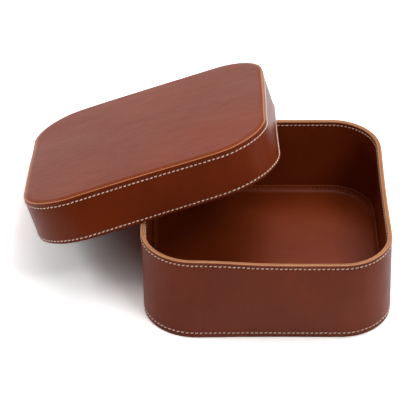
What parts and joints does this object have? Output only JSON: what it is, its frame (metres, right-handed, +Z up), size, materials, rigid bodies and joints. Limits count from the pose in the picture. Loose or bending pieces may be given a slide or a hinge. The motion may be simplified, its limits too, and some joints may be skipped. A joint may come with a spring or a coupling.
{
  "type": "stationery box",
  "caption": "Square saddle-leather box with round corners and a separate stitched lid resting askew on it, for papers and keepsakes.",
  "frame": {"origin": "middle of the base's underside, on the surface the box stands on", "axes": "+Z up, -Y towards the base's front, +X to the right; the base's sides lie along X and Y"},
  "size_m": [0.3388, 0.3083, 0.156],
  "materials": {
    "saddle_leather": "smooth vegetable-tanned saddle leather, cognac brown, soft sheen, natural tan burnished edges",
    "lining_leather": "smooth brown leather lining, same hide, slightly darker, natural tan edge",
    "greyboard": "dense grey bookbinder's board, matte",
    "linen_thread": "waxed off-white linen thread, twisted"
  },
  "bodies": {
    "base": {"base_outer_wall": "saddle_leather", "base_wall_lining": "lining_leather", "base_floor_panel": "saddle_leather", "base_rim_thread": "linen_thread", "base_foot_thread": "linen_thread", "base_seam_thread": "linen_thread"},
    "lid": {"lid_outer_wall": "saddle_leather", "lid_wall_lining": "lining_leather", "lid_top_panel": "saddle_leather", "lid_stiffener_board": "greyboard", "lid_ceiling_lining": "lining_leather", "lid_crown_thread": "linen_thread", "lid_rim_thread": "linen_thread", "lid_seam_thread": "linen_thread"}
  },
  "joints": [
    {"name": "lid_lift", "type": "slide", "parent": "base", "child": "lid", "axis": [0, 0, 1], "range_m": [0, 0.16]}
  ]
}
